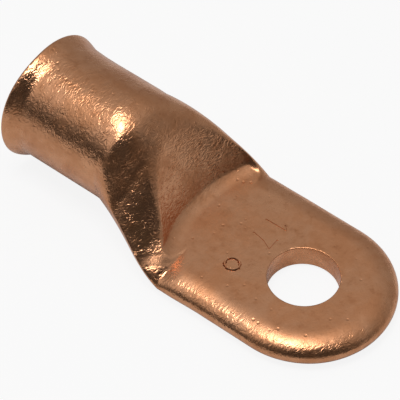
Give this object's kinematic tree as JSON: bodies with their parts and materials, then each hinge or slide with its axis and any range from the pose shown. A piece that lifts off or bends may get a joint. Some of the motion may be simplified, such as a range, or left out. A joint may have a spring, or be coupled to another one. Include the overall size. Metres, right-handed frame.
{
  "type": "copper cable lug",
  "caption": "Tubular copper cable lug: a round crimp barrel with a belled mouth, pressed down through a sloping fold into a flat round-ended palm with a stud hole.",
  "frame": {"origin": "centre of the stud hole on the palm's underside, the face that is bolted down", "axes": "+Z along the stud hole, up out of the palm; +X along the lug's length towards the palm's round tip, so the barrel's mouth faces -X; +Y across the palm"},
  "size_m": [0.0603, 0.0258, 0.0193],
  "materials": {
    "copper": "satin, drawn tube, slightly tarnished"
  },
  "bodies": {
    "root": {"lug": "copper"}
  },
  "joints": []
}
